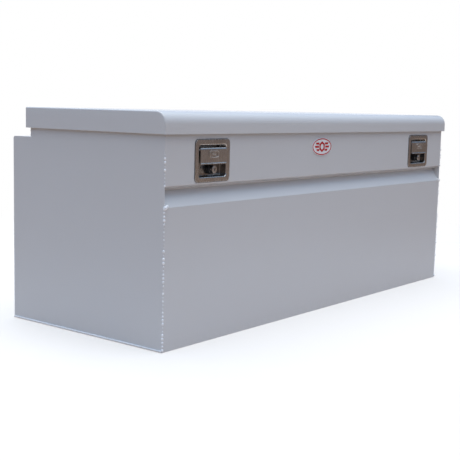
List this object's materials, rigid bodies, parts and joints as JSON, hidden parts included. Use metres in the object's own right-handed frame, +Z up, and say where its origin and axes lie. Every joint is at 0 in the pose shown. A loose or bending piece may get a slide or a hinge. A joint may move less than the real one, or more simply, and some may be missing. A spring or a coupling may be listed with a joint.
{
  "type": "truck tool box",
  "caption": "Long white steel chest with an overhanging hinged lid, recessed paddle latches with locks, a grooved front wall and a rear shelf step.",
  "frame": {"origin": "centre of the footprint, on the surface that the chest stands on", "axes": "+Z up, the front with the latches faces -Y, +X along the length to the right seen from the front"},
  "size_m": [1.543, 0.5932, 0.6096],
  "materials": {
    "white_paint": "semi-gloss white powder coat",
    "seal_rubber": "matt black foam and bulb rubber",
    "badge_enamel": "gloss white with a red rim",
    "hinge_steel": "painted with the chest",
    "latch_steel": "satin stainless steel",
    "zinc_plate": "bright zinc plate",
    "spring_steel": "oiled spring steel",
    "lock_steel": "satin plated",
    "black_plastic": "matt black",
    "strut_enamel": "gloss black",
    "strut_chrome": "hard chrome"
  },
  "bodies": {
    "root": {"back_panel": "white_paint", "floor_pan": "white_paint", "front_badge": "badge_enamel", "front_panel": "white_paint", "hinge_body_leaf": "hinge_steel", "hinge_body_rivets": "hinge_steel", "hinge_pin": "hinge_steel", "hook_pins": "zinc_plate", "hook_springs": "spring_steel", "latch_bracket_left": "zinc_plate", "latch_bracket_right": "zinc_plate", "latch_gaskets": "seal_rubber", "latch_nuts": "zinc_plate", "latch_pan_left": "latch_steel", "latch_pan_right": "latch_steel", "latch_studs": "zinc_plate", "left_end_panel": "white_paint", "lock_collar_left": "black_plastic", "lock_collar_right": "black_plastic", "lock_housing_left": "lock_steel", "lock_housing_right": "lock_steel", "lock_nuts": "zinc_plate", "paddle_pins": "zinc_plate", "paddle_springs": "spring_steel", "right_end_panel": "white_paint", "rim_gussets": "white_paint", "rim_seal": "seal_rubber", "strut_body_bracket_left": "zinc_plate", "strut_body_bracket_right": "zinc_plate"},
    "lid": {"lid_shell": "white_paint", "lid_left_end": "white_paint", "lid_right_end": "white_paint", "striker_plates": "white_paint", "hinge_lid_leaf": "hinge_steel", "hinge_lid_rivets": "hinge_steel", "lid_rib_1": "white_paint", "lid_rib_2": "white_paint", "lid_rib_3": "white_paint", "striker_left": "zinc_plate", "strut_lid_bracket_left": "zinc_plate", "striker_right": "zinc_plate", "strut_lid_bracket_right": "zinc_plate"},
    "paddle_left": {"paddle_left": "latch_steel"},
    "hook_left": {"latch_hook_left": "zinc_plate"},
    "lock_left": {"lock_plug_left": "lock_steel", "lock_cam_left": "zinc_plate"},
    "strut_cylinder_left": {"strut_tube_left": "strut_enamel", "strut_lower_socket_left": "black_plastic", "strut_gland_left": "black_plastic"},
    "strut_rod_left": {"strut_rod_left": "strut_chrome", "strut_upper_socket_left": "black_plastic"},
    "paddle_right": {"paddle_right": "latch_steel"},
    "hook_right": {"latch_hook_right": "zinc_plate"},
    "lock_right": {"lock_plug_right": "lock_steel", "lock_cam_right": "zinc_plate"},
    "strut_cylinder_right": {"strut_tube_right": "strut_enamel", "strut_lower_socket_right": "black_plastic", "strut_gland_right": "black_plastic"},
    "strut_rod_right": {"strut_rod_right": "strut_chrome", "strut_upper_socket_right": "black_plastic"}
  },
  "joints": [
    {"name": "lid_hinge", "type": "hinge", "parent": "root", "child": "lid", "pos_m": [0, 0.2254, 0.5554], "axis": [-1, 0, 0], "range_deg": [0, 75]},
    {"name": "paddle_pull_left", "type": "hinge", "parent": "root", "child": "paddle_left", "pos_m": [-0.578, -0.2871, 0.512], "axis": [-1, 0, 0], "range_deg": [0, 26], "stiffness_Nm_per_rad": 0.6, "springref_deg": -5.73},
    {"name": "hook_swing_left", "type": "hinge", "parent": "root", "child": "hook_left", "pos_m": [-0.578, -0.2216, 0.5005], "axis": [1, 0, 0], "range_deg": [0, 18.73]},
    {"name": "lock_turn_left", "type": "hinge", "parent": "root", "child": "lock_left", "pos_m": [-0.5695, -0.2891, 0.459], "axis": [0, -1, 0], "range_deg": [-90, 0]},
    {"name": "strut_swing_left", "type": "hinge", "parent": "root", "child": "strut_cylinder_left", "pos_m": [-0.708, 0.1454, 0.3674], "axis": [-1, 0, 0], "range_deg": [0, 28.75]},
    {"name": "strut_slide_left", "type": "slide", "parent": "strut_cylinder_left", "child": "strut_rod_left", "axis": [0, -0.319, 0.9478], "range_m": [0, 0.12397]},
    {"name": "paddle_pull_right", "type": "hinge", "parent": "root", "child": "paddle_right", "pos_m": [0.578, -0.2871, 0.512], "axis": [-1, 0, 0], "range_deg": [0, 26], "stiffness_Nm_per_rad": 0.6, "springref_deg": -5.73},
    {"name": "hook_swing_right", "type": "hinge", "parent": "root", "child": "hook_right", "pos_m": [0.578, -0.2216, 0.5005], "axis": [1, 0, 0], "range_deg": [0, 18.73]},
    {"name": "lock_turn_right", "type": "hinge", "parent": "root", "child": "lock_right", "pos_m": [0.5865, -0.2891, 0.459], "axis": [0, -1, 0], "range_deg": [-90, 0]},
    {"name": "strut_swing_right", "type": "hinge", "parent": "root", "child": "strut_cylinder_right", "pos_m": [0.708, 0.1454, 0.3674], "axis": [-1, 0, 0], "range_deg": [0, 28.75]},
    {"name": "strut_slide_right", "type": "slide", "parent": "strut_cylinder_right", "child": "strut_rod_right", "axis": [0, -0.319, 0.9478], "range_m": [0, 0.12397]}
  ],
  "couplings": [
    {"joint": "hook_swing_left", "follows": "paddle_pull_left", "ratio": 0.72},
    {"joint": "strut_swing_left", "follows": "lid_hinge", "ratio": 0.38327},
    {"joint": "strut_slide_left", "follows": "lid_hinge", "m_per_rad": 0.094708},
    {"joint": "hook_swing_right", "follows": "paddle_pull_right", "ratio": 0.72},
    {"joint": "strut_swing_right", "follows": "lid_hinge", "ratio": 0.38327},
    {"joint": "strut_slide_right", "follows": "lid_hinge", "m_per_rad": 0.094708}
  ]
}
